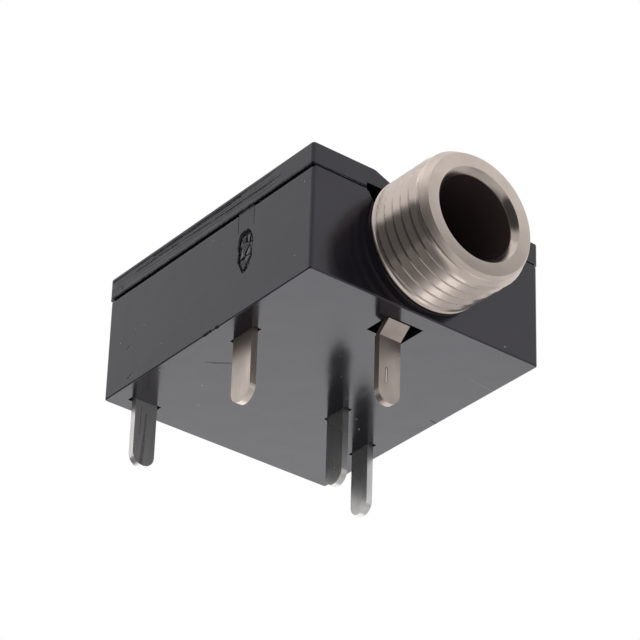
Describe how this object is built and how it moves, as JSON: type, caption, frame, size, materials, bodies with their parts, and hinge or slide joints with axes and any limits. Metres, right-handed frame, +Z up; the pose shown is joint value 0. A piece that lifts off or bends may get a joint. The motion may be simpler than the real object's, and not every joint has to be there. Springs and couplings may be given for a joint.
{
  "type": "audio jack socket",
  "caption": "Switched stereo jack socket for a circuit board: black moulded case, clipped lid, threaded metal bush and blade terminals with spring contacts.",
  "frame": {"origin": "centre of the housing's underside, the face that seats on the circuit board", "axes": "+X to the right seen from the plug's side, +Y from the plug's mouth towards the rear, +Z up, away from the board"},
  "size_m": [0.0118, 0.0172, 0.0097],
  "materials": {
    "case_plastic": "semi-gloss black moulding",
    "lid_plastic": "semi-gloss black moulding with scraped edges",
    "bush_nickel": "nickel-plated brass, turned",
    "terminal_strip": "tin-plated copper alloy strip",
    "spring_strip": "tin-plated spring bronze strip"
  },
  "bodies": {
    "socket": {"housing": "case_plastic", "lid": "lid_plastic", "bush": "bush_nickel", "sleeve_terminal": "terminal_strip", "ring_terminal": "terminal_strip", "ring_switch": "terminal_strip", "tip_terminal": "terminal_strip", "tip_switch": "terminal_strip"},
    "tip_leaf": {"tip_spring": "spring_strip"},
    "ring_leaf": {"ring_spring": "spring_strip"}
  },
  "joints": [
    {"name": "tip_spring_flex", "type": "hinge", "parent": "socket", "child": "tip_leaf", "pos_m": [0.00442, -0.00285, 0.00335], "axis": [0, 0, -1], "range_deg": [0, 8], "stiffness_Nm_per_rad": 0.03, "springref_deg": -2.86},
    {"name": "ring_spring_flex", "type": "hinge", "parent": "socket", "child": "ring_leaf", "pos_m": [-0.00375, 0.00562, 0.00335], "axis": [0, 0, -1], "range_deg": [0, 4], "stiffness_Nm_per_rad": 0.12, "springref_deg": -1.72}
  ]
}
